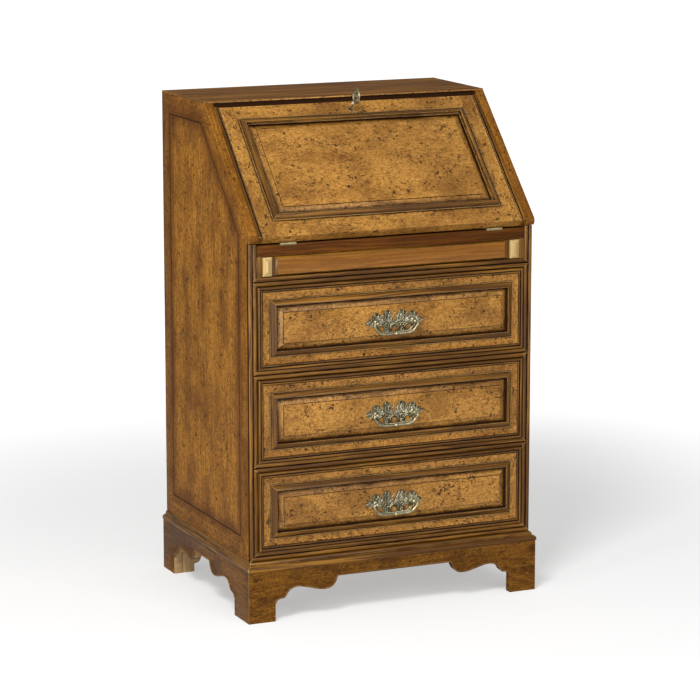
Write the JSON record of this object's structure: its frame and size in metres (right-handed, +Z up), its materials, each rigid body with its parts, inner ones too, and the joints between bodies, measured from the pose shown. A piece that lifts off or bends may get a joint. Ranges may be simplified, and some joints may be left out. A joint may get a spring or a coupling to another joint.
{
  "type": "slant-front secretary desk",
  "caption": "Slant-front writing desk with burl veneer, a hinged fall on sliding lopers, moulded drawers with bail handles, and a scalloped plinth.",
  "frame": {"origin": "on the floor, at the middle of the whole desk's width and depth, handles included", "axes": "+Z up, front towards -Y, +X to the right of a person who faces the front"},
  "size_m": [0.632, 0.4798, 1.0205],
  "materials": {
    "burl": "French-polished burl veneer with dark flecks",
    "walnut": "straight-grained brown walnut, glazed and waxed",
    "oak": "plain light secondary wood, waxed",
    "brass": "antique cast brass, dulled in the hollows",
    "leather": "dark brown writing leather with a satin face"
  },
  "bodies": {
    "carcass": {"back_panel": "oak", "bottom_board": "oak", "dust_board_1": "oak", "dust_board_2": "oak", "dust_board_3": "oak", "rear_bracket_left": "oak", "rear_bracket_right": "oak", "side_left": "burl", "side_right": "burl", "frieze_panel": "burl", "plinth_front": "burl", "plinth_left": "burl", "plinth_right": "burl", "top_board": "walnut", "desk_board": "walnut", "stile_bead_left": "walnut", "stile_bead_right": "walnut", "rail_bead_1": "walnut", "rail_bead_2": "walnut", "rail_bead_3": "walnut", "rail_bead_4": "walnut", "loper_guide_left": "walnut", "loper_guide_right": "walnut", "base_moulding_front": "walnut", "base_moulding_left": "walnut", "base_moulding_right": "walnut", "gallery_shelf": "walnut", "gallery_divider_left": "walnut", "gallery_divider_right": "walnut", "gallery_post_left": "walnut", "gallery_post_right": "walnut", "hinge_fixed_left": "brass", "hinge_fixed_right": "brass"},
    "fall": {"fall_board": "burl", "fall_moulding": "walnut", "fall_leather": "leather", "lock_case": "brass", "hinge_moving_left": "brass", "hinge_moving_right": "brass"},
    "bolt": {"lock_bolt": "brass"},
    "desk_key": {"key": "brass"},
    "loper_left_slide": {"loper_left": "oak"},
    "loper_right_slide": {"loper_right": "oak"},
    "small_drawer_left": {"gallery_drawer_left": "walnut", "gallery_knob_left": "brass"},
    "small_drawer_right": {"gallery_drawer_right": "walnut", "gallery_knob_right": "brass"},
    "drawer_1": {"drawer_1_front": "burl", "drawer_1_box": "oak", "handle_1_plate": "brass"},
    "bail_1": {"handle_1_bail": "brass"},
    "drawer_2": {"drawer_2_front": "burl", "drawer_2_box": "oak", "handle_2_plate": "brass"},
    "bail_2": {"handle_2_bail": "brass"},
    "drawer_3": {"drawer_3_front": "burl", "drawer_3_box": "oak", "handle_3_plate": "brass"},
    "bail_3": {"handle_3_bail": "brass"}
  },
  "joints": [
    {"name": "fall_hinge", "type": "hinge", "parent": "carcass", "child": "fall", "pos_m": [0, -0.2151, 0.7458], "axis": [1, 0, 0], "range_deg": [0, 135]},
    {"name": "key_turn", "type": "hinge", "parent": "fall", "child": "desk_key", "pos_m": [0, -0.01609, 0.97634], "axis": [0, -0.7071, 0.7071], "range_deg": [0, 90]},
    {"name": "bolt_slide", "type": "slide", "parent": "fall", "child": "bolt", "axis": [0, 0.7071, 0.7071], "range_m": [0, 0.007]},
    {"name": "loper_left_pull", "type": "slide", "parent": "carcass", "child": "loper_left_slide", "axis": [0, -1, 0], "range_m": [0, 0.25]},
    {"name": "loper_right_pull", "type": "slide", "parent": "carcass", "child": "loper_right_slide", "axis": [0, -1, 0], "range_m": [0, 0.25]},
    {"name": "small_drawer_left_pull", "type": "slide", "parent": "carcass", "child": "small_drawer_left", "axis": [0, -1, 0], "range_m": [0, 0.14]},
    {"name": "small_drawer_right_pull", "type": "slide", "parent": "carcass", "child": "small_drawer_right", "axis": [0, -1, 0], "range_m": [0, 0.14]},
    {"name": "drawer_1_pull", "type": "slide", "parent": "carcass", "child": "drawer_1", "axis": [0, -1, 0], "range_m": [0, 0.3]},
    {"name": "bail_1_lift", "type": "hinge", "parent": "drawer_1", "child": "bail_1", "pos_m": [0, -0.2363, 0.578], "axis": [-1, 0, 0], "range_deg": [0, 85]},
    {"name": "drawer_2_pull", "type": "slide", "parent": "carcass", "child": "drawer_2", "axis": [0, -1, 0], "range_m": [0, 0.3]},
    {"name": "bail_2_lift", "type": "hinge", "parent": "drawer_2", "child": "bail_2", "pos_m": [0, -0.2363, 0.3945], "axis": [-1, 0, 0], "range_deg": [0, 85]},
    {"name": "drawer_3_pull", "type": "slide", "parent": "carcass", "child": "drawer_3", "axis": [0, -1, 0], "range_m": [0, 0.3]},
    {"name": "bail_3_lift", "type": "hinge", "parent": "drawer_3", "child": "bail_3", "pos_m": [0, -0.2363, 0.21375], "axis": [-1, 0, 0], "range_deg": [0, 85]}
  ],
  "couplings": [
    {"joint": "bolt_slide", "follows": "key_turn", "m_per_rad": 0.00445}
  ]
}
